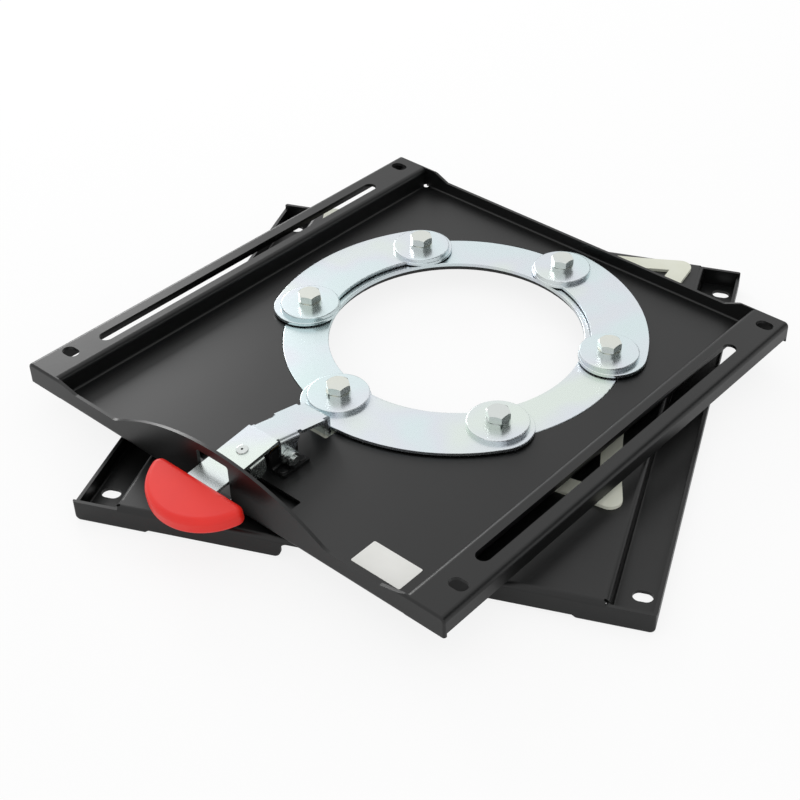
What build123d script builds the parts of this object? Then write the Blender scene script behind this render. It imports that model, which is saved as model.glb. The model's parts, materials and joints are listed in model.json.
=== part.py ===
from build123d import *
import os
from math import atan, cos, degrees, radians, sin, tan

# Swivel seat base: a folded upper plate turns on a folded lower plate about a bolted ring,
# and a sprung lever at the front drops a tongue into the lower plate.
# Millimetres, +Z up, front to -Y. The origin is on the swivel axis, at floor level.

# Plates
PLATE_W = 400.0
FRONT_ROOM = 99.5
REAR_ROOM = 9.5
SHEET = 2.5
BEND = 1.5
RAIL_W = 33.0
RAIL_RISE = 16.5
SKIRT = 13.5
END_CAP = 16.5
CORNER_R = 1.8
UPPER_RELIEF_R = 2.5
LOWER_RELIEF_R = 1.0
TURN = 24.5
NEAR = 0.1

# Edges of the flanges
FRONT_DROP = 4.2
FRONT_FLARE = 20.0
REAR_DROP = 6.5
REAR_FLARE_IN = 24.0
REAR_FLARE_OUT = 9.0
FLARE_BLEND = 4.0
LOWER_DROP = 3.0
LOWER_FLARE_IN = 21.0
LOWER_FLARE_OUT = 17.0
LOWER_GAP_W = 102.0
LOWER_GAP_R = 5.0

# Arch over the lever
LEVER_X = -1.5
ARCH_W = 202.0
ARCH_RISE = 24.0
ARCH_BLEND = 14.0
WINDOW_PLAY = 1.0
WINDOW_TOP = 17.3
WINDOW_LOW = -12.0
WINDOW_R = 2.0

# Holes in the plates
SLOT_INSET = 17.5
SLOT_MARGIN = 53.0
SLOT_W = 11.0
RAIL_HOLE_INSET = 13.0
RAIL_HOLE_FRONT = 28.8
RAIL_HOLE_REAR = 15.4
RAIL_HOLE_L = 14.0
RAIL_HOLE_W = 10.0
WEB_SLOT_L = 92.0
WEB_SLOT_W = 12.0

# Ring stack
SLIP = 0.2
SLIDE_T = 2.5
SLIDE_RAIL_GAP = 4.0
SLIDE_REAR = 8.0
SLIDE_FRONT = 17.0
SLIDE_MARGIN = 8.7
SLIDE_TIP_R = 9.0
SLIDE_LEG = 15.0
SLIDE_CUT_GAP = 12.0
SLIDE_CUT_R = 4.0
RING_R = 133.3
RING_W = 34.8
RING_PROUD = 0.3
RING_PLAY = 0.5
LOWER_SETBACK = 3.2
SLIDE_SETBACK = 7.5
SPACER_T = 1.2
SPACER_R = 14.0
SEGMENT_T = 2.5
SEGMENT_LAP = 14.7
SEGMENT_SETBACK = 4.5
SEGMENT_EYE_R = 26.0
SEGMENT_FIRST_BOLT = {"left": 2, "right": 0, "front": 4}
COVER_R = 23.0
COVER_T = 3.5
EDGE_BREAK = 0.6
COVER_BREAK = 1.0
BOLT_INSET = 13.9
BOLT_COUNT = 6
BOLT_R = 5.0
BOLT_HOLE = 0.3
BOLT_TAIL = 1.0
LOCK_R = 9.0
LOCK_T = 2.2
LOCK_SPLIT = 1.5
HEAD_FLATS = 16.0
HEAD_T = 6.4
HEX_FALL = 0.6
NUT_T = 5.0
NUT_WASHER_R = 10.0
NUT_WASHER_T = 1.0
THREAD_PLAY = 0.05

# Lever, with places along Y counted from the tongue or from the pivot
LEVER_W = 28.0
LEVER_T = 2.5
LEVER_BEND = 3.0
TONGUE_GAP = 1.3
TONGUE_W = 23.0
TONGUE_UP = -0.4
TONGUE_LIFT = 0.5
TONGUE_HOLE_W = 27.0
TONGUE_HOLE_L = 12.0
PIVOT_AHEAD = 43.0
CREST_AHEAD = 7.4
CREST_UP = 9.7
FRONT_SLOPE = 6.5
EAR_AHEAD = 5.0
EAR_BEHIND = 12.5
EAR_NOTCH = 2.6
EAR_NOTCH_DEEP = 2.0
PIVOT_UP = 9.0
PIVOT_BOSS = 5.8
PIVOT_R = 3.0
RUNNING = 0.06
SIDE_PLAY = 0.6
WASHER_PLAY = 0.2
BRACKET_FOOT = 11.0
BRACKET_L = 25.0
BRACKET_UP = 7.0
BRACKET_R = 6.0
RIVET_R = 2.0
RIVET_EDGE = 4.0
RIVET_HEAD_R = 3.4
RIVET_HEAD_T = 0.8
DOME = 0.8
PIVOT_WASHER_R = 6.0
PIVOT_WASHER_T = 1.2
PIVOT_FLATS = 10.0
PIVOT_HEAD_T = 4.0
PIVOT_NUT_T = 5.0
PIVOT_TAIL = 2.0
SPRING_WIRE = 1.6
SPRING_TURNS = 4
SPRING_RISE = 13.0
SPRING_PITCH = 2.2
SPRING_PLAY = 0.5
SPRING_REST = 0.3
SPRING_LEG_LOW = 20.0
SPRING_LEG_TOP = 21.0
STOP_AHEAD = 20.0
STOP_W = 13.0
STOP_IN = 20.0
STOP_T = 2.0
STOP_DROP = 15.5
STOP_RIVET_R = 3.0
STOP_HEAD_R = 4.4
STOP_HEAD_T = 1.0
STOP_DIMPLE_R = 0.9

# Handle, with places counted forward from the front edge of the upper plate
HANDLE_R = 44.0
HANDLE_AHEAD = 9.7
STRIP_AHEAD = 36.0
HANDLE_DEPTH = 36.5
HANDLE_CORNER = 6.0
HANDLE_OVER = 2.4
HANDLE_T = 12.5
HANDLE_TOP_ROUND = 4.5
HANDLE_LOW_ROUND = 3.0
POCKET_PLAY = 0.1

# Values that follow from the sizes above
RING_IN = RING_R - RING_W
WEB_HOLE_R = RING_R + RING_PLAY
LOWER_HOLE_R = RING_IN + LOWER_SETBACK
SLIDE_HOLE_R = RING_IN + SLIDE_SETBACK
SEGMENT_R = RING_R + SEGMENT_LAP
SEGMENT_IN = RING_IN + SEGMENT_SETBACK
BOLT_RING_R = RING_R - BOLT_INSET
BOLT_STEP = 360.0 / BOLT_COUNT
HOLE_R = BOLT_R + BOLT_HOLE
PLATE_L = 2 * SEGMENT_R + FRONT_ROOM + REAR_ROOM
AXIS_BACK = PLATE_L / 2 - SEGMENT_R - REAR_ROOM
FRONT_Y = -PLATE_L / 2
RAIL_IN = PLATE_W / 2 - RAIL_W
FAR = PLATE_W + PLATE_L
PLATE_H = RAIL_RISE + SHEET
LOWER_TOP = PLATE_H
SLIDE_TOP = LOWER_TOP + SLIDE_T
UPPER_LOW = SLIDE_TOP + SLIP
UPPER_TOP = UPPER_LOW + SHEET
RAIL_TOP = UPPER_LOW + PLATE_H
RING_TOP = UPPER_TOP + RING_PROUD
SPACER_TOP = RING_TOP + SPACER_T
SEGMENT_TOP = SPACER_TOP + SEGMENT_T
COVER_TOP = SEGMENT_TOP + COVER_T
HEAD_LOW = COVER_TOP + LOCK_T
NUT_TOP = LOWER_TOP - SHEET - NUT_WASHER_T
NUT_LOW = NUT_TOP - NUT_T
BOLT_LOW = NUT_LOW - BOLT_TAIL
TONGUE_Y = AXIS_BACK - SEGMENT_R - TONGUE_GAP - LEVER_T / 2
PIVOT_Y = TONGUE_Y - PIVOT_AHEAD
PIVOT_AT = PIVOT_Y - AXIS_BACK
PIVOT_Z = UPPER_TOP + PIVOT_UP
CREST_Y = PIVOT_Y - CREST_AHEAD
STOP_Y = CREST_Y - STOP_AHEAD
EAR_FRONT_Y = PIVOT_Y - EAR_AHEAD
EAR_REAR_Y = PIVOT_Y + EAR_BEHIND
EAR_OUT = LEVER_W / 2
EAR_IN = EAR_OUT - LEVER_T
BRACKET_OUT = EAR_IN - SIDE_PLAY
BRACKET_IN = BRACKET_OUT - SHEET
STRIP_FRONT_Y = FRONT_Y - STRIP_AHEAD
HANDLE_BACK_Y = FRONT_Y - HANDLE_AHEAD

os.makedirs("parts", exist_ok=True)


def save(shape, name):
    """Write one node as a STEP file."""
    shape.label = name
    export_step(shape, "parts/" + name + ".step")


def group(solids):
    """Several equal solids as one node."""
    return Compound(children=list(solids))


def with_lower(shape):
    """Turn a shape from the lower plate's axes to the rest pose."""
    return Rot(0, 0, TURN) * shape


def on_plate(shape):
    """Move a shape from plate axes, centred on the plate, to the swivel axis."""
    return Pos(0, -AXIS_BACK, 0) * shape


def sheet_section(points, thickness, radius):
    """Section of folded sheet along its middle line, with round bends."""
    return trace(FilletPolyline(*points, radius=radius), thickness)


def disc(radius, hole, low, high):
    """Plain ring or washer between two heights."""
    return extrude(Pos(0, 0, low) * (Circle(radius) - Circle(hole)), high - low)


def hexagon(flats, low, high):
    """Hexagon prism with the outer corners chamfered on both ends."""
    corner = flats / 2 / cos(radians(30))
    cut = corner - flats / 2
    prism = extrude(Pos(0, 0, low) * RegularPolygon(flats / 2, 6, major_radius=False), high - low)
    cone = Pos(0, 0, (low + high) / 2) * Cylinder(corner, high - low)
    cone = chamfer(cone.edges().filter_by(GeomType.CIRCLE), cut * HEX_FALL, cut)
    return prism & cone


def at_bolts(shape):
    """Copies of a shape on the bolt circle, in rest pose."""
    copies = []
    for index in range(BOLT_COUNT):
        copies.append(with_lower(Rot(0, 0, BOLT_STEP * index) * Pos(BOLT_RING_R, 0, 0) * shape))
    return copies


def bolt_holes(low, high):
    """Clearance holes on the bolt circle, in the lower plate's axes."""
    holes = []
    for index in range(BOLT_COUNT):
        hole = Cylinder(HOLE_R, high - low, align=(Align.CENTER, Align.CENTER, Align.MIN))
        holes.append(Rot(0, 0, BOLT_STEP * index) * Pos(BOLT_RING_R, 0, low) * hole)
    return holes


def flange(end, outline):
    """Flange folded up from one end of the web, cut to an outline in X and Z."""
    mid = SHEET / 2
    face_y = end * (PLATE_L / 2 - mid)
    start_y = end * (PLATE_L / 2 - 2 * (BEND + SHEET))
    points = [(start_y, mid), (face_y, mid), (face_y, PLATE_H + ARCH_RISE)]
    blank = extrude(Plane.YZ * sheet_section(points, SHEET, BEND + mid), RAIL_IN, both=True)
    return blank & extrude(Plane.XZ * outline, PLATE_L, both=True)


def pan(front, rear, relief):
    """Folded plate with its web on z = 0, both rails raised and corner reliefs, in plate axes."""
    mid = SHEET / 2
    half = PLATE_W / 2
    right = [
        (RAIL_IN + mid, mid),
        (RAIL_IN + mid, PLATE_H - mid),
        (half - mid, PLATE_H - mid),
        (half - mid, PLATE_H - SKIRT),
    ]
    left = [(-x, z) for x, z in reversed(right)]
    body = extrude(Plane.XZ * sheet_section(left + right, SHEET, BEND + mid), PLATE_L / 2, both=True)
    bend = BEND + SHEET
    cap = RectangleRounded(PLATE_W, 2 * PLATE_H, bend)
    for side in (-1, 1):
        ends = cap & Pos(side * (half - RAIL_W / 2), PLATE_H - END_CAP / 2) * Rectangle(RAIL_W, END_CAP)
        for end in (-1, 1):
            body += Pos(0, end * (PLATE_L / 2 - mid), 0) * extrude(Plane.XZ * ends, mid, both=True)
    trim = Pos(0, 0, bend / 2) * Box(2 * RAIL_IN, bend, bend)
    trim += Pos(0, 0, (PLATE_H - END_CAP) / 2) * Box(2 * (RAIL_IN + SHEET), bend, PLATE_H - END_CAP)
    for end in (-1, 1):
        body -= Pos(0, end * (PLATE_L / 2 - bend / 2), 0) * trim
    body += flange(-1, front)
    body += flange(1, rear)
    rims = body.edges().filter_by(
        lambda e: abs(e.center().Y) > PLATE_L / 2 - NEAR
        and abs(e.center().X) > RAIL_IN
        and e.center().Z > bend
    )
    body = fillet(rims, CORNER_R)
    for side in (-1, 1):
        for end in (-1, 1):
            at = Pos(side * (RAIL_IN - relief / 2), end * (PLATE_L / 2 - SHEET - relief / 2), 0)
            body -= at * Cylinder(relief, 2 * bend)
    return body


def plain_outline(drop, flare_in, flare_out, gap):
    """Edge of a flange: full height at the rails, lower between them, with or without a gap."""
    top = PLATE_H - drop
    right = [
        (RAIL_IN - flare_in, top),
        (RAIL_IN - flare_out, PLATE_H),
        (RAIL_IN, PLATE_H),
        (RAIL_IN, -SHEET),
    ]
    if gap > 0:
        right = [(gap / 2, BEND + SHEET), (gap / 2, top)] + right
    left = [(-x, z) for x, z in reversed(right)]
    face = make_face(Polyline(*(left + right), close=True))
    if gap > 0:
        corners = face.vertices().filter_by(lambda v: abs(abs(v.X) - gap / 2) < NEAR)
        face = fillet(corners, LOWER_GAP_R)
    return face


def arch_outline():
    """Front edge of the upper plate: flares at the rails and an arch over the lever."""
    top = PLATE_H - FRONT_DROP
    arch_left = (LEVER_X - ARCH_W / 2, top)
    arch_right = (LEVER_X + ARCH_W / 2, top)
    lower = Polyline(
        arch_right,
        (RAIL_IN - FRONT_FLARE, top),
        (RAIL_IN, PLATE_H),
        (RAIL_IN, -SHEET),
        (-RAIL_IN, -SHEET),
        (-RAIL_IN, PLATE_H),
        (-RAIL_IN + FRONT_FLARE, top),
        arch_left,
    )
    arc = ThreePointArc(arch_left, (LEVER_X, PLATE_H + ARCH_RISE), arch_right)
    face = make_face(lower.edges() + arc.edges())
    feet = face.vertices().filter_by(lambda v: abs(abs(v.X - LEVER_X) - ARCH_W / 2) < NEAR)
    face = fillet(feet, ARCH_BLEND)
    flares = face.vertices().filter_by(lambda v: abs(abs(v.X) - RAIL_IN + FRONT_FLARE) < NEAR)
    return fillet(flares, FLARE_BLEND)


def rail_holes(low, high):
    """Four obround bolt holes in the rails, in plate axes."""
    sketch = Sketch()
    for side in (-1, 1):
        for y in (FRONT_Y + RAIL_HOLE_FRONT, PLATE_L / 2 - RAIL_HOLE_REAR):
            hole = SlotOverall(RAIL_HOLE_L, RAIL_HOLE_W)
            sketch += Pos(side * (PLATE_W / 2 - RAIL_HOLE_INSET), y) * hole
    return extrude(Pos(0, 0, low) * sketch, high - low)


def bracket_rivet_points():
    """Rivets of the pivot brackets, as X and Y in plate axes."""
    out = BRACKET_OUT + (BRACKET_FOOT + BEND) / 2
    apart = BRACKET_L / 2 - RIVET_EDGE
    points = []
    for side in (-1, 1):
        for end in (-1, 1):
            points.append((LEVER_X + side * out, PIVOT_Y + end * apart))
    return points


# Upper plate
rear_edge = plain_outline(REAR_DROP, REAR_FLARE_IN, REAR_FLARE_OUT, 0)
upper = pan(arch_outline(), rear_edge, UPPER_RELIEF_R)
upper -= Pos(0, AXIS_BACK, 0) * Cylinder(WEB_HOLE_R, 3 * SHEET)
upper -= rail_holes(RAIL_RISE - SHEET, PLATE_H + SHEET)
for side in (-1, 1):
    slot = Rot(0, 0, 90) * SlotOverall(PLATE_L - 2 * SLOT_MARGIN, SLOT_W)
    upper -= extrude(Pos(side * (PLATE_W / 2 - SLOT_INSET), 0, RAIL_RISE - SHEET) * slot, 3 * SHEET)
web_slot = RectangleRounded(WEB_SLOT_L, WEB_SLOT_W, BEND)
upper -= extrude(Pos(0, STOP_Y, 0) * web_slot, 2 * SHEET, both=True)
tongue_hole = RectangleRounded(TONGUE_HOLE_W, TONGUE_HOLE_L, BEND)
upper -= extrude(Pos(LEVER_X, TONGUE_Y, 0) * tongue_hole, 2 * SHEET, both=True)
window_h = WINDOW_TOP - WINDOW_LOW
window = Plane.XZ * RectangleRounded(LEVER_W + 2 * WINDOW_PLAY, window_h, WINDOW_R)
window_at = Pos(LEVER_X, FRONT_Y, PLATE_H + (WINDOW_TOP + WINDOW_LOW) / 2)
upper -= window_at * extrude(window, 2 * SHEET, both=True)
for x, y in bracket_rivet_points():
    upper -= Pos(x, y, 0) * Cylinder(RIVET_R, 3 * SHEET)
save(on_plate(Pos(0, 0, UPPER_LOW) * upper), "upper_plate")

# Lower plate: the same pan turned over, without slots and with a gap in its front flange
lower_front = plain_outline(LOWER_DROP, LOWER_FLARE_IN, LOWER_FLARE_OUT, LOWER_GAP_W)
lower_rear = plain_outline(LOWER_DROP, LOWER_FLARE_IN, LOWER_FLARE_OUT, 0)
lower = pan(lower_front, lower_rear, LOWER_RELIEF_R)
lower -= rail_holes(RAIL_RISE - SHEET, PLATE_H + SHEET)
lower = on_plate(Pos(0, 0, PLATE_H) * Rot(0, 180, 0) * lower)
lower -= Pos(0, 0, LOWER_TOP) * Cylinder(LOWER_HOLE_R, 3 * SHEET)
lower -= bolt_holes(LOWER_TOP - 2 * SHEET, LOWER_TOP + SHEET)
latch = RectangleRounded(TONGUE_HOLE_W, TONGUE_HOLE_L / 2, BEND)
lower -= extrude(Pos(LEVER_X, TONGUE_Y - AXIS_BACK, LOWER_TOP) * latch, 2 * SHEET, both=True)
save(with_lower(lower), "lower_plate")

# Slide sheet: a square with hollow sides, and a window that leaves two legs in each arm
tip_x = RAIL_IN - SLIDE_RAIL_GAP
tip_rear = SEGMENT_R + SLIDE_REAR
tip_front = -SEGMENT_R - SLIDE_FRONT
side_at = RING_R + SLIDE_MARGIN
tips = [(tip_x, tip_front), (tip_x, tip_rear), (-tip_x, tip_rear), (-tip_x, tip_front)]
mid_y = (tip_rear + tip_front) / 2
sides = [(side_at, mid_y), (0, side_at), (-side_at, mid_y), (0, -side_at)]
edges = []
for index in range(4):
    edges += ThreePointArc(tips[index], sides[index], tips[(index + 1) % 4]).edges()
star = make_face(edges)
cuts = offset(star, amount=-SLIDE_LEG) - Circle(RING_R + SLIDE_CUT_GAP)
slide = fillet(star.vertices(), SLIDE_TIP_R) - Circle(SLIDE_HOLE_R)
for cut in cuts.faces():
    slide -= fillet(cut.vertices(), SLIDE_CUT_R)
slide = extrude(Pos(0, 0, LOWER_TOP) * slide, SLIDE_T)
slide -= bolt_holes(LOWER_TOP - SHEET, SLIDE_TOP + SHEET)
save(with_lower(slide), "slide_sheet")

# Bearing ring
ring = disc(RING_R, RING_IN, SLIDE_TOP, RING_TOP)
ring = fillet(ring.edges().group_by(Axis.Z)[-1], EDGE_BREAK)
ring -= bolt_holes(SLIDE_TOP - SHEET, RING_TOP + SHEET)
save(with_lower(ring), "bearing_ring")

# Clamp segments: an arc band with a round eye over each of two bolts
eye_at = SEGMENT_R - SEGMENT_EYE_R
for name, first in SEGMENT_FIRST_BOLT.items():
    start = BOLT_STEP * first
    band = Circle(SEGMENT_R) - Circle(SEGMENT_IN)
    wedge = make_face(Polyline(
        (0, 0),
        (FAR * cos(radians(start)), FAR * sin(radians(start))),
        (FAR * cos(radians(start + BOLT_STEP)), FAR * sin(radians(start + BOLT_STEP))),
        close=True,
    ))
    outline = band & wedge
    for angle in (start, start + BOLT_STEP):
        outline += Rot(0, 0, angle) * Pos(eye_at, 0) * Circle(SEGMENT_EYE_R)
    segment = extrude(Pos(0, 0, SPACER_TOP) * outline, SEGMENT_T)
    segment = fillet(segment.edges().group_by(Axis.Z)[-1], EDGE_BREAK)
    segment -= bolt_holes(SPACER_TOP - SHEET, SEGMENT_TOP + SHEET)
    save(with_lower(segment), "clamp_segment_" + name)

# Ring bolts with their washers, spacers and nuts
cover = disc(COVER_R, HOLE_R, SEGMENT_TOP, COVER_TOP)
cover = fillet(cover.edges().group_by(Axis.Z)[-1].sort_by(SortBy.RADIUS)[-1], COVER_BREAK)
save(group(at_bolts(cover)), "cover_washers")
save(group(at_bolts(disc(SPACER_R, HOLE_R, RING_TOP, SPACER_TOP))), "spacer_washers")
lock = disc(LOCK_R, HOLE_R, COVER_TOP, HEAD_LOW)
lock -= Pos(LOCK_R, 0, COVER_TOP) * Box(2 * (LOCK_R - BOLT_R), LOCK_SPLIT, 3 * LOCK_T)
save(group(at_bolts(lock)), "lock_washers")
shank = Cylinder(BOLT_R, HEAD_LOW - BOLT_LOW, align=(Align.CENTER, Align.CENTER, Align.MIN))
bolt = hexagon(HEAD_FLATS, HEAD_LOW, HEAD_LOW + HEAD_T) + Pos(0, 0, BOLT_LOW) * shank
save(group(at_bolts(bolt)), "ring_bolts")
nut_hole = Pos(0, 0, NUT_LOW) * Cylinder(BOLT_R + THREAD_PLAY, 3 * NUT_T)
save(group(at_bolts(hexagon(HEAD_FLATS, NUT_LOW, NUT_TOP) - nut_hole)), "ring_nuts")
nut_washer = disc(NUT_WASHER_R, HOLE_R, NUT_TOP, NUT_TOP + NUT_WASHER_T)
save(group(at_bolts(nut_washer)), "nut_washers")

# Lever strip: middle line in Y and Z, from the tongue over the crest to the handle
mid_z = RAIL_TOP + CREST_UP - LEVER_T / 2
rear_tan = (CREST_UP - TONGUE_UP) / (TONGUE_Y - CREST_Y)
rear_slope = degrees(atan(rear_tan))
front_tan = tan(radians(FRONT_SLOPE))
line = [
    (TONGUE_Y, SLIDE_TOP + TONGUE_LIFT),
    (TONGUE_Y, mid_z - rear_tan * (TONGUE_Y - CREST_Y)),
    (CREST_Y, mid_z),
    (STRIP_FRONT_Y, mid_z - front_tan * (CREST_Y - STRIP_FRONT_Y)),
]
strip = extrude(Plane.YZ * sheet_section(line, LEVER_T, LEVER_BEND), LEVER_W / 2, both=True)
for side in (-1, 1):
    trim_w = (LEVER_W - TONGUE_W) / 2
    trim = Box(trim_w, 4 * LEVER_BEND, FAR)
    strip -= Pos(side * (TONGUE_W + trim_w) / 2, TONGUE_Y, 0) * trim
    for y in (EAR_FRONT_Y - EAR_NOTCH / 2, EAR_REAR_Y + EAR_NOTCH / 2):
        notch = Box(2 * EAR_NOTCH_DEEP, EAR_NOTCH, FAR)
        strip -= Pos(side * LEVER_W / 2, y, 0) * notch

# Ears of the strip: a saddle with round bends, cut to a side outline with a boss at the pivot
ear_l = EAR_REAR_Y - EAR_FRONT_Y
ear_y = (EAR_FRONT_Y + EAR_REAR_Y) / 2
ear_z = mid_z - rear_tan * (ear_y - CREST_Y)
ear_x = (EAR_OUT + EAR_IN) / 2
saddle_line = [(-ear_x, -FAR), (-ear_x, 0), (ear_x, 0), (ear_x, -FAR)]
saddle = extrude(Plane.XZ * sheet_section(saddle_line, LEVER_T, LEVER_BEND), ear_l, both=True)
saddle = Pos(0, ear_y, ear_z) * Rot(-rear_slope, 0, 0) * saddle
ear_rise = rear_tan * ear_l / 2
root = Polyline(
    (EAR_FRONT_Y, ear_z + ear_rise + LEVER_T),
    (EAR_REAR_Y, ear_z - ear_rise + LEVER_T),
    (EAR_REAR_Y, ear_z - ear_rise - LEVER_T),
    (EAR_FRONT_Y, ear_z + ear_rise - LEVER_T),
    close=True,
)
boss = Pos(PIVOT_Y, PIVOT_Z) * Circle(PIVOT_BOSS)
side_view = make_hull(root.edges() + boss.edges())
strip -= Pos(0, ear_y, ear_z) * Box(2 * LEVER_W, ear_l, 4 * LEVER_T)
strip += saddle & extrude(Plane.YZ * side_view, LEVER_W, both=True)
strip -= Pos(0, PIVOT_Y, PIVOT_Z) * Rot(0, 90, 0) * Cylinder(PIVOT_R + RUNNING, FAR)


def on_lever_front(y):
    """Place on the middle line of the strip's front part, with local X along the part's X."""
    return Pos(0, y, mid_z - front_tan * (CREST_Y - y)) * Rot(FRONT_SLOPE, 0, 0)


stop_hole = on_lever_front(STOP_Y) * Cylinder(STOP_RIVET_R, 4 * LEVER_T)
save(on_plate(Pos(LEVER_X, 0, 0) * (strip - stop_hole)), "lever_strip")

# Stop plate under the strip, with one leg turned down at the right, and its hollow rivet
leg_x = LEVER_W / 2 - STOP_T / 2
stop_line = [(leg_x - STOP_IN, -STOP_T / 2), (leg_x, -STOP_T / 2), (leg_x, -STOP_DROP)]
stop = extrude(Plane.XZ * sheet_section(stop_line, STOP_T, BEND + STOP_T / 2), STOP_W / 2, both=True)
stop &= extrude(Plane.YZ * Rot(0, 0, 90) * SlotOverall(2 * STOP_DROP, STOP_W), LEVER_W, both=True)
stop -= Cylinder(STOP_RIVET_R, 4 * STOP_T)
stop = on_lever_front(STOP_Y) * Pos(0, 0, -LEVER_T / 2) * stop
save(on_plate(Pos(LEVER_X, 0, 0) * stop), "stop_plate")
rivet_h = LEVER_T + STOP_T
rivet = Cylinder(STOP_RIVET_R, rivet_h, align=(Align.CENTER, Align.CENTER, Align.MAX))
for turn in (0, 180):
    head = Cylinder(STOP_HEAD_R, STOP_HEAD_T, align=(Align.CENTER, Align.CENTER, Align.MIN))
    head = fillet(head.edges().group_by(Axis.Z)[-1], STOP_HEAD_T * DOME)
    rivet += Pos(0, 0, -rivet_h * turn / 180) * Rot(turn, 0, 0) * head
rivet -= Cylinder(STOP_DIMPLE_R, FAR)
rivet = on_lever_front(STOP_Y) * Pos(0, 0, LEVER_T / 2) * rivet
save(on_plate(Pos(LEVER_X, 0, 0) * rivet), "stop_rivet")

# Handle: half-moon grip with a pocket for the strip
grip_mid = HANDLE_DEPTH - HANDLE_R
grip = Pos(0, -grip_mid) * Circle(HANDLE_R) & Pos(0, -HANDLE_R) * Rectangle(2 * HANDLE_R, 2 * HANDLE_R)
grip = fillet(grip.vertices(), HANDLE_CORNER)
grip = extrude(Pos(0, 0, LEVER_T / 2 + HANDLE_OVER - HANDLE_T) * grip, HANDLE_T)
grip = fillet(grip.edges().group_by(Axis.Z)[-1], HANDLE_TOP_ROUND)
grip = fillet(grip.edges().group_by(Axis.Z)[0], HANDLE_LOW_ROUND)
pocket_l = (HANDLE_BACK_Y - STRIP_FRONT_Y) / cos(radians(FRONT_SLOPE)) + POCKET_PLAY
pocket = Box(LEVER_W + 2 * POCKET_PLAY, 2 * pocket_l, LEVER_T)
grip = on_lever_front(HANDLE_BACK_Y) * (grip - pocket)
save(on_plate(Pos(LEVER_X, 0, 0) * grip), "handle")

# Pivot brackets: two angles between the ears, with feet turned out under them, riveted to the web
cheek = Pos(PIVOT_Y, PIVOT_Z + BRACKET_UP) * Rectangle(BRACKET_L, 2 * FAR, align=(Align.CENTER, Align.MAX))
cheek = extrude(Plane.YZ * fillet(cheek.vertices().group_by(Axis.Y)[-1], BRACKET_R), FAR, both=True)
for name, side in (("left", -1), ("right", 1)):
    at = BRACKET_OUT - SHEET / 2
    foot = UPPER_TOP + SHEET / 2
    angle_line = [(at, RAIL_TOP), (at, foot), (BRACKET_OUT + BRACKET_FOOT, foot)]
    angle = extrude(Plane.XZ * sheet_section(angle_line, SHEET, BEND + SHEET / 2), FAR, both=True) & cheek
    angle -= Pos(0, PIVOT_Y, PIVOT_Z) * Rot(0, 90, 0) * Cylinder(PIVOT_R + THREAD_PLAY, FAR)
    if side < 0:
        angle = mirror(angle, about=Plane.YZ)
    angle = Pos(LEVER_X, 0, 0) * angle
    for x, y in bracket_rivet_points():
        angle -= Pos(x, y, UPPER_TOP) * Cylinder(RIVET_R, 4 * SHEET)
    save(on_plate(angle), "bracket_" + name)

rivets = []
for x, y in bracket_rivet_points():
    pin = Cylinder(RIVET_R, 2 * SHEET, align=(Align.CENTER, Align.CENTER, Align.MAX))
    dome = Cylinder(RIVET_HEAD_R, RIVET_HEAD_T, align=(Align.CENTER, Align.CENTER, Align.MIN))
    dome = fillet(dome.edges().group_by(Axis.Z)[-1], RIVET_HEAD_T * DOME)
    rivets.append(on_plate(Pos(x, y, UPPER_TOP + SHEET) * (pin + dome)))
save(group(rivets), "bracket_rivets")


def on_pivot(shape):
    """Lay a shape drawn along Z on the pivot axis, with its z = 0 on the lever's middle."""
    return Pos(LEVER_X, PIVOT_AT, PIVOT_Z) * Rot(0, 90, 0) * shape


# Pivot bolt, washers, nut and bush
seat = EAR_OUT + WASHER_PLAY + PIVOT_WASHER_T
tail = seat + PIVOT_NUT_T + PIVOT_TAIL
pin = Pos(0, 0, -seat) * Cylinder(PIVOT_R, seat + tail, align=(Align.CENTER, Align.CENTER, Align.MIN))
pivot_bolt = pin + hexagon(PIVOT_FLATS, -seat - PIVOT_HEAD_T, -seat)
save(on_pivot(pivot_bolt), "pivot_bolt")
washers = []
for side in (-1, 1):
    low = min(side * seat, side * (seat - PIVOT_WASHER_T))
    washers.append(on_pivot(disc(PIVOT_WASHER_R, PIVOT_R + THREAD_PLAY, low, low + PIVOT_WASHER_T)))
save(group(washers), "pivot_washers")
pivot_nut = hexagon(PIVOT_FLATS, seat, seat + PIVOT_NUT_T)
pivot_nut -= Pos(0, 0, seat) * Cylinder(PIVOT_R + THREAD_PLAY, 3 * PIVOT_NUT_T)
save(on_pivot(pivot_nut), "pivot_nut")
bush_r = PIVOT_UP - SPRING_REST - SPRING_WIRE - SPRING_PLAY
bush_end = BRACKET_IN - WASHER_PLAY
save(on_pivot(disc(bush_r, PIVOT_R + THREAD_PLAY, -bush_end, bush_end)), "pivot_bush")

# Return spring: a coil around the bush, one leg forward on the web, one leg up under the strip
coil_r = bush_r + SPRING_PLAY + SPRING_WIRE / 2
coil_h = SPRING_PITCH * (SPRING_TURNS + 0.5 - SPRING_RISE / 360)
coil = Helix(SPRING_PITCH, coil_h, coil_r, center=(0, 0, -coil_h / 2))
wire = Circle(SPRING_WIRE / 2)
spring = sweep(Plane(coil @ 0, z_dir=coil % 0) * wire, path=coil)
spring += extrude(Plane(coil @ 0, z_dir=coil % 0) * wire, -SPRING_LEG_LOW)
spring += extrude(Plane(coil @ 1, z_dir=coil % 1) * wire, SPRING_LEG_TOP)
save(on_pivot(spring), "return_spring")
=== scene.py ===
# %% [markdown]
# # Swivel seat base
# Two folded black plates turn on a bolted zinc ring, and a sprung lever with a red grip locks
# them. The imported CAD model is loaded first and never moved: it gives every size and place.
# This script adds what the solids lack: finishes, a film label, a floor, light and a camera.

# %% Load the frame
import json
import math

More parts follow.
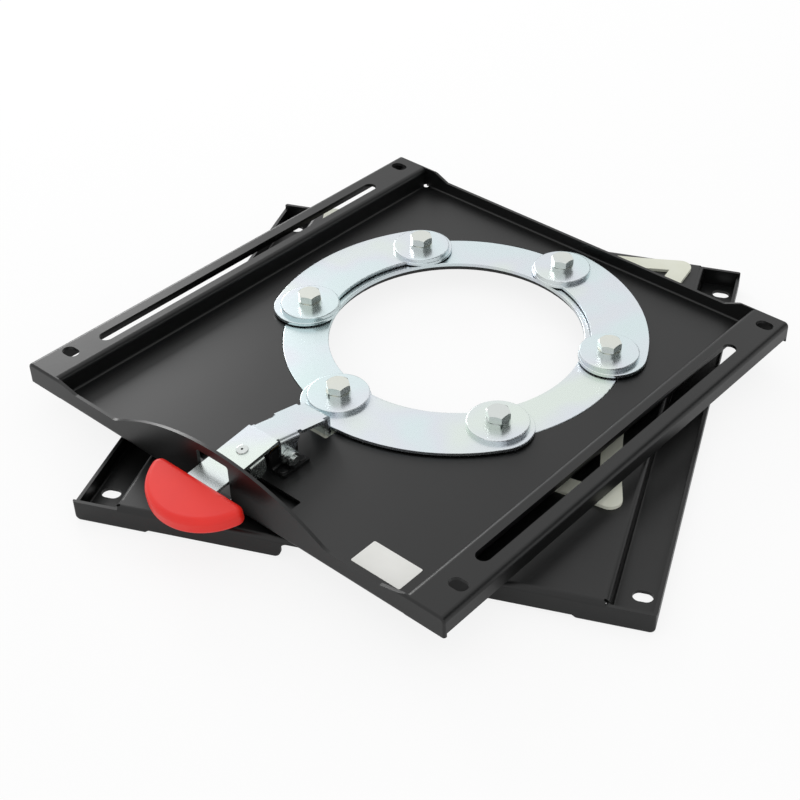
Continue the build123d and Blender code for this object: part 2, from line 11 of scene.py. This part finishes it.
import bpy
import numpy as np
from mathutils import Matrix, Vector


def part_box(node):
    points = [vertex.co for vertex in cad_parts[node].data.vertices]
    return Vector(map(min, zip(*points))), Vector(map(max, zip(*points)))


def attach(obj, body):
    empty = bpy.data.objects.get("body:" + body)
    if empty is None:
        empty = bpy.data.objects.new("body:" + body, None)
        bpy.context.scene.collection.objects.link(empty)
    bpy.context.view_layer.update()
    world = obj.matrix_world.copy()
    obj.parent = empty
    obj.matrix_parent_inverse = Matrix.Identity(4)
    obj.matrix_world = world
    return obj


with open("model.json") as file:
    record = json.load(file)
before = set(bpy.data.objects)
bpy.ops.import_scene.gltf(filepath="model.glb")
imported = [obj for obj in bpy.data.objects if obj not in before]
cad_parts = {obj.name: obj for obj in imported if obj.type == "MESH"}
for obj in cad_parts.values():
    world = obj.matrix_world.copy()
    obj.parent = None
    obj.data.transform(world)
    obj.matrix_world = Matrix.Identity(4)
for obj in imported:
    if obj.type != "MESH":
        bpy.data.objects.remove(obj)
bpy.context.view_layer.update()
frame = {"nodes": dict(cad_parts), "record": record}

MM = 0.001
scene = bpy.context.scene
nodes = frame["nodes"]
print("nodes in the frame:", len(nodes))

# %% [markdown]
# ## Colours and nodes
# Colours are written as sRGB hex, as a picture editor shows them. Shaders want linear light, so
# one function turns them over. A second small function adds a node with its settings and links,
# and others make an empty material, the scale of a noise and a colour ramp.

# %% Colour and node helpers


def linear(hex_colour):
    """sRGB hex to linear RGBA: below 0.04045 divide by 12.92, above it use the 2.4 power."""
    srgb = np.array([int(hex_colour[i:i + 2], 16) for i in (1, 3, 5)]) / 255
    rgb = np.where(srgb <= 0.04045, srgb / 12.92, ((srgb + 0.055) / 1.055) ** 2.4)
    return (*rgb.tolist(), 1.0)


def add(tree, kind, links=None, **settings):
    """Add a node. Settings name its properties or its inputs, and links name input: socket."""
    made = tree.nodes.new(kind)
    for name, value in settings.items():
        if hasattr(made, name):
            setattr(made, name, value)
        else:
            made.inputs[name.replace("_", " ")].default_value = value
    for name, socket in (links or {}).items():
        tree.links.new(socket, made.inputs[name])
    return made


def new_material(name):
    """An empty material: itself, its node tree, its output node and its Object coordinates."""
    material = bpy.data.materials.new(name)
    material.use_nodes = True
    tree = material.node_tree
    tree.nodes.clear()
    out = add(tree, "ShaderNodeOutputMaterial")
    return material, tree, out, add(tree, "ShaderNodeTexCoord").outputs["Object"]


def per_metre(size_mm):
    """Scale of a noise whose features are about size_mm wide."""
    return 1 / (size_mm * MM)


def ramp(tree, value, stops):
    """Colour ramp over a value: stops are pairs of place and hex colour, in rising order."""
    made = add(tree, "ShaderNodeValToRGB", {"Fac": value})
    marks = made.color_ramp.elements
    while len(marks) < len(stops):
        marks.new(0.5)
    for mark, (place, colour) in zip(marks, stops):
        mark.position = place
        mark.color = linear(colour)
    return made.outputs["Color"]


print("helpers ready, white is", linear("#FFFFFF")[:3])

# %% [markdown]
# ## Black powder coat
# The plates and brackets are folded steel with a baked polyester powder. The film is nearly black
# and takes its grey from the gloss alone: it mirrors the pale studio softly. It flows out with a
# faint orange peel, so a noise of about 3 mm tilts the surface a little, and slow clouds in the
# roughness stand for the uneven film. A painted grey would look flat, so the base stays black.

# %% Powder coat
COAT_BLACK = "#090A0A"
COAT_ROUGH = 0.37
COAT_SPREAD = 0.05
COAT_IOR = 1.47
PEEL_MM = 3
FILM_CLOUD_MM = 45


def powder_coat():
    """Satin black polyester film on steel, with orange peel and an uneven satin."""
    material, tree, out, place = new_material("black_powder_coat")
    peel = add(tree, "ShaderNodeTexNoise", {"Vector": place}, Scale=per_metre(PEEL_MM), Detail=2.0)
    bump = add(tree, "ShaderNodeBump", {"Height": peel.outputs["Fac"]}, Strength=0.06, Distance=0.2 * MM)
    film = add(tree, "ShaderNodeTexNoise", {"Vector": place}, Scale=per_metre(FILM_CLOUD_MM), Detail=3.0)
    satin = add(tree, "ShaderNodeMapRange", {"Value": film.outputs["Fac"]},
                To_Min=COAT_ROUGH - COAT_SPREAD, To_Max=COAT_ROUGH + COAT_SPREAD)
    shader = add(tree, "ShaderNodeBsdfPrincipled",
                 {"Normal": bump.outputs["Normal"], "Roughness": satin.outputs["Result"]},
                 Base_Color=linear(COAT_BLACK), IOR=COAT_IOR)
    tree.links.new(shader.outputs["BSDF"], out.inputs["Surface"])
    return material


print("powder coat:", COAT_BLACK)

# %% [markdown]
# ## Zinc plate
# Ring, segments, washers and lever are steel sheet with a bright zinc plate, passivated to a cool
# blue. The passivation is thinner than a wavelength, so it shows faint clouds of cyan, lavender
# and straw. Two noises make that: a slow one picks the tint, a fine one varies the satin, because
# the rolled sheet below isn't quite smooth. Bolts and nuts are plated in bulk and a little warmer.

# %% Zinc
CLOUD_MM = 70
ROLLED_MM = 2.5
SATIN_SPREAD = 0.03


def zinc_plate(name, tints, rough):
    """Passivated zinc: close tints in clouds of about 70 mm, with a fine uneven satin."""
    material, tree, out, place = new_material(name)
    cloud = add(tree, "ShaderNodeTexNoise", {"Vector": place}, Scale=per_metre(CLOUD_MM), Detail=2.0)
    colour = ramp(tree, cloud.outputs["Fac"], tints)
    grain = add(tree, "ShaderNodeTexNoise", {"Vector": place}, Scale=per_metre(ROLLED_MM), Detail=3.0)
    satin = add(tree, "ShaderNodeMapRange", {"Value": grain.outputs["Fac"]},
                To_Min=rough - SATIN_SPREAD, To_Max=rough + SATIN_SPREAD)
    bump = add(tree, "ShaderNodeBump", {"Height": grain.outputs["Fac"]}, Strength=0.02, Distance=0.1 * MM)
    sockets = {"Base Color": colour, "Roughness": satin.outputs["Result"], "Normal": bump.outputs["Normal"]}
    shader = add(tree, "ShaderNodeBsdfPrincipled", sockets, Metallic=1.0)
    tree.links.new(shader.outputs["BSDF"], out.inputs["Surface"])
    return material


SHEET_ROUGH = 0.27
SHEET_TINTS = [(0.30, "#D3E3E3"), (0.46, "#D6E2E5"), (0.56, "#D9DEE4"), (0.70, "#DBE4DE")]
BOLT_ROUGH = 0.22
BOLT_TINTS = [(0.35, "#D9DBD2"), (0.65, "#D3D8D6")]
print("zinc tints:", len(SHEET_TINTS), "and", len(BOLT_TINTS))

# %% [markdown]
# ## Plastics
# The slide sheet is natural ivory polyethylene, skived from a block, so it is waxy and a little
# uneven in tone. The grip is red moulded nylon: its tool was spark eroded, which leaves a fine
# pebble of about 0.8 mm. Both are one function with a different grain.

# %% Plastics
TONE_MM = 25


def plastic(name, colour, deeper, rough, grain_mm, relief):
    """Through-coloured plastic: a slow tone change, and a fine grain in relief."""
    material, tree, out, place = new_material(name)
    tone = add(tree, "ShaderNodeTexNoise", {"Vector": place}, Scale=per_metre(TONE_MM), Detail=2.0)
    shade = ramp(tree, tone.outputs["Fac"], [(0.3, colour), (0.7, deeper)])
    grain = add(tree, "ShaderNodeTexNoise", {"Vector": place}, Scale=per_metre(grain_mm), Detail=2.0)
    bump = add(tree, "ShaderNodeBump", {"Height": grain.outputs["Fac"]}, Strength=relief, Distance=0.1 * MM)
    shader = add(tree, "ShaderNodeBsdfPrincipled", {"Base Color": shade, "Normal": bump.outputs["Normal"]},
                 Roughness=rough, IOR=1.50)
    tree.links.new(shader.outputs["BSDF"], out.inputs["Surface"])
    return material


print("plastics: ivory polyethylene and red nylon")

# %% [markdown]
# ## Spring wire and turned brass
# Drawn wire and turned brass carry fine lines. On the real pieces the lines follow the drawing or
# the cutting tool. Here a noise stretched across the pivot axis is enough, since both hide under
# the lever strip.

# %% Drawn and turned metal
LINE_MM = 0.4
LINE_STRETCH = (1.0, 0.15, 0.15)


def worked_metal(name, colour, darker, rough):
    """Worked metal: lines 0.4 mm wide that run across the pivot axis, between two close tones."""
    material, tree, out, place = new_material(name)
    stretch = add(tree, "ShaderNodeMapping", {"Vector": place}, Scale=LINE_STRETCH)
    lines = add(tree, "ShaderNodeTexNoise", {"Vector": stretch.outputs["Vector"]},
                Scale=per_metre(LINE_MM), Detail=2.0)
    tone = ramp(tree, lines.outputs["Fac"], [(0.35, colour), (0.65, darker)])
    shader = add(tree, "ShaderNodeBsdfPrincipled", {"Base Color": tone}, Roughness=rough, Metallic=1.0)
    tree.links.new(shader.outputs["BSDF"], out.inputs["Surface"])
    return material


print("worked metal: lines of", LINE_MM, "mm")

# %% [markdown]
# ## Finishes on the pieces
# Each piece of the record names the slot of its finish. On the real object every piece is coated
# or plated before it is put together, so a piece has one finish all over.

# %% Give each node its finish
finishes = {
    "black_coat": powder_coat(),
    "zinc": zinc_plate("zinc_plate", SHEET_TINTS, SHEET_ROUGH),
    "steel_fasteners": zinc_plate("fastener_zinc", BOLT_TINTS, BOLT_ROUGH),
    "slide_plastic": plastic("ivory_polyethylene", "#E0E2D4", "#DADCCB", 0.45, 1.5, 0.05),
    "red_plastic": plastic("red_nylon", "#EE261A", "#E82118", 0.42, 0.8, 0.08),
    "spring_steel": worked_metal("oiled_spring_wire", "#8A8A8C", "#6E7072", 0.35),
    "bush_brass": worked_metal("turned_brass", "#C9A255", "#B58E45", 0.30),
}
for entry in frame["record"]["subparts"]:
    mesh = nodes[entry["node"]].data
    mesh.materials.clear()
    mesh.materials.append(finishes[entry["material_slot"]])
print("finishes:", ", ".join(finishes))

# %% [markdown]
# ## Blank label
# A white film label sits on the web near the front right corner. Nothing is printed on it. A flat
# square would have sharp corners and no edge, so the outline is a rectangle with round corners,
# carried up a thin wall and closed with two flat faces.

# %% Label outline


def mesh_piece(name, points, faces):
    """A new object at the origin, made of the given points and faces."""
    mesh = bpy.data.meshes.new(name)
    mesh.from_pydata(points, [], faces)
    piece = bpy.data.objects.new(name, mesh)
    scene.collection.objects.link(piece)
    return piece


def label_outline(width, depth, corner, steps):
    """Rectangle with round corners: four quarter circles of one radius, joined by straight runs."""
    angle = np.linspace(0, math.pi / 2, steps)
    arc = corner * np.stack([np.cos(angle), np.sin(angle)], axis=1)
    turns = np.arange(4) * math.pi / 2
    spin = np.stack([np.cos(turns), -np.sin(turns), np.sin(turns), np.cos(turns)], axis=1).reshape(4, 2, 2)
    centres = np.array([[1, 1], [-1, 1], [-1, -1], [1, -1]]) * [width / 2 - corner, depth / 2 - corner]
    return (np.einsum("tij,sj->tsi", spin, arc) + centres[:, None, :]).reshape(-1, 2)


LABEL_WIDTH = 42 * MM
LABEL_DEPTH = 23 * MM
LABEL_CORNER = 1.2 * MM
CORNER_STEPS = 6
outline = label_outline(LABEL_WIDTH, LABEL_DEPTH, LABEL_CORNER, CORNER_STEPS)
print("label outline:", len(outline), "points")

# %% Label film


def film(name, outline, centre, low, high, bend):
    """Closed film: the outline at three heights, the top one drawn in by the rounding of its edge."""
    rings = [(1.0, low), (1.0, high - bend), (1 - bend / np.abs(outline).max(), high)]
    count = len(outline)
    points = np.concatenate([np.column_stack([outline * share + centre, np.full(count, z)])
                             for share, z in rings])
    here = np.arange(count)
    after = (here + 1) % count
    walls = np.concatenate([np.stack([k + here, k + after, k + count + after, k + count + here], axis=1)
                            for k in (0, count)])
    faces = walls.tolist() + [(2 * count + here).tolist(), here[::-1].tolist()]
    return mesh_piece(name, points.tolist(), faces)


LABEL_CENTRE = np.array([130.0, -222.5]) * MM
FILM_THICK = 0.15 * MM
EDGE_ROUND = 0.05 * MM
# The brackets stand on the web, so their lowest corner gives its height.
web_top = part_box("bracket_left")[0][2]
label = film("blank_label", outline, LABEL_CENTRE, web_top, web_top + FILM_THICK, EDGE_ROUND)
label.data.materials.append(plastic("white_label_film", "#EDEDE9", "#E8E8E4", 0.35, 4.0, 0.03))
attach(label, "turntable")
print("label at", LABEL_CENTRE, "on the web at", round(web_top, 4))

# %% [markdown]
# ## Floor
# The object stands on a white light table, as such parts are shown in a catalogue. The floor is
# pale and matt, and glows to the camera, which thins the shadow but keeps it. In reflections it
# glows less, so that a slot or a flange above the shaded floor mirrors a dark floor, as it should.
# Light that falls on the object from the floor isn't changed by that.

# %% Floor
FLOOR_SIZE = 6.0
TABLE_GLOW = 0.85
MIRRORED_GLOW = 0.30


def watched(tree, seen, mirrored):
    """Glow share of a ray: seen for the camera, mirrored for gloss and clear bodies, zero elsewhere."""
    path = add(tree, "ShaderNodeLightPath")
    shares = [("Is Camera Ray", seen), ("Is Glossy Ray", mirrored), ("Is Transmission Ray", mirrored)]
    total = None
    for ray, share in shares:
        part = add(tree, "ShaderNodeMath", operation="MULTIPLY_ADD")
        tree.links.new(path.outputs[ray], part.inputs[0])
        part.inputs[1].default_value = share
        part.inputs[2].default_value = 0
        if total:
            tree.links.new(total, part.inputs[2])
        total = part.outputs[0]
    return total


def flat_sheet(name, corners, material):
    """A stage piece: one four-cornered sheet."""
    piece = mesh_piece(name, corners, [(0, 1, 2, 3)])
    piece.data.materials.append(material)
    return piece


table, tree, out, _ = new_material("white_table")
matt = add(tree, "ShaderNodeBsdfDiffuse", Color=linear("#F7F7F7"))
glow = add(tree, "ShaderNodeEmission", Color=linear("#FFFFFF"), Strength=1.0)
both = add(tree, "ShaderNodeMixShader", {"Fac": watched(tree, TABLE_GLOW, MIRRORED_GLOW)})
tree.links.new(matt.outputs[0], both.inputs[1])
tree.links.new(glow.outputs[0], both.inputs[2])
tree.links.new(both.outputs[0], out.inputs["Surface"])
half = FLOOR_SIZE / 2
flat_sheet("floor", [(-half, -half, 0), (half, -half, 0), (half, half, 0), (-half, half, 0)], table)
print("floor:", FLOOR_SIZE, "m square")

# %% [markdown]
# ## Light
# The world is white to the camera and to reflections, and a little less to matt surfaces. One soft
# lamp stands low at the left behind the object: it grazes the left rail and throws the rail's soft
# shadow on the web. A weak one hangs above.

# %% World
WORLD_FILL = 0.85
world = bpy.data.worlds.new("studio")
scene.world = world
world.use_nodes = True
sky = world.node_tree
sky.nodes.clear()
dim = add(sky, "ShaderNodeBackground", Color=linear("#FFFFFF"), Strength=WORLD_FILL)
white = add(sky, "ShaderNodeBackground", Color=linear("#FFFFFF"), Strength=1.0)
mix = add(sky, "ShaderNodeMixShader", {"Fac": watched(sky, 1.0, 1.0)})
sky.links.new(dim.outputs[0], mix.inputs[1])
sky.links.new(white.outputs[0], mix.inputs[2])
add(sky, "ShaderNodeOutputWorld", {"Surface": mix.outputs[0]})
print("world fill:", WORLD_FILL)

# %% Lamps


def softbox(name, place, aim, size, watts):
    """A square area lamp at place that points at aim: tilt from straight down, then turn about Z."""
    lamp = bpy.data.lights.new(name, "AREA")
    lamp.size = size
    lamp.energy = watts
    box = bpy.data.objects.new(name, lamp)
    box.location = place
    towards = np.array(aim) - np.array(place)
    flat = math.hypot(towards[0], towards[1])
    box.rotation_euler = (math.atan2(flat, -towards[2]), 0, math.atan2(-towards[0], towards[1]))
    scene.collection.objects.link(box)
    return box


CENTRE = (0.0, -0.04, 0.03)
softbox("top_light", (-0.3, 0.2, 1.9), CENTRE, 1.6, 1)
softbox("left_light", (-1.67, 0.65, 0.72), CENTRE, 0.6, 10)
print("lamps:", [item.name for item in bpy.data.lights])

# %% [markdown]
# ## Dark side of the studio
# To the right of the camera the room is darker, and bright metal shows it: the right faces of the
# bolt heads and the bends of the plates are darker in the photograph. A grey curtain on that side,
# part of a standing cylinder, gives this. It is seen in reflections alone, so it takes no light
# away. Black cloth would turn the whole ring black from behind, so the cloth is grey.

# %% Curtain
CURTAIN_RADIUS = 1.6
CURTAIN_HEIGHTS = (0.55, 2.1)
CURTAIN_AZIMUTHS = (-30, 70)
CURTAIN_STEPS = 21


def curtain(name, radius, heights, azimuths, steps):
    """Part of a standing cylinder about the swivel axis, between two heights and two azimuths."""
    angle = np.radians(np.linspace(*azimuths, steps))
    ring = radius * np.stack([np.cos(angle), np.sin(angle)], axis=1)
    points = np.concatenate([np.column_stack([ring, np.full(steps, z)]) for z in heights])
    here = np.arange(steps - 1)
    faces = np.stack([here, here + 1, here + 1 + steps, here + steps], axis=1)
    piece = mesh_piece(name, points.tolist(), faces.tolist())
    return piece


cloth, tree, out, _ = new_material("grey_cloth")
weave = add(tree, "ShaderNodeBsdfDiffuse", Color=linear("#6E7070"))
tree.links.new(weave.outputs[0], out.inputs["Surface"])
drape = curtain("grey_curtain", CURTAIN_RADIUS, CURTAIN_HEIGHTS, CURTAIN_AZIMUTHS, CURTAIN_STEPS)
drape.data.materials.append(cloth)
drape.visible_camera = False
drape.visible_diffuse = False
drape.visible_shadow = False
print("curtain:", len(drape.data.polygons), "panels")

# %% [markdown]
# ## Camera
# The camera was found from the corners of the plates in the photograph: first its place, turn and
# lens, then a small roll and a sideways shift, because the photograph is a crop.

# %% Camera
LENS = 68.33
SENSOR = 36
CAMERA_AT = (0.61698, -0.72616, 0.70778)
CAMERA_TURN = 38.474
CAMERA_DOWN = 38.157
CAMERA_ROLL = 1.049
SHIFT_X = -0.12
lens = bpy.data.cameras.new("photo_camera")
lens.lens = LENS
lens.sensor_width = SENSOR
lens.shift_x = SHIFT_X
camera = bpy.data.objects.new("photo_camera", lens)
turn = Matrix.Rotation(math.radians(CAMERA_TURN), 3, "Z")
tilt = Matrix.Rotation(math.radians(90 - CAMERA_DOWN), 3, "X")
roll = Matrix.Rotation(math.radians(CAMERA_ROLL), 3, "Z")
camera.location = CAMERA_AT
camera.rotation_euler = (turn @ tilt @ roll).to_euler()
scene.collection.objects.link(camera)
scene.camera = camera
scene.view_settings.view_transform = "Standard"
print("camera lens:", LENS, "mm")
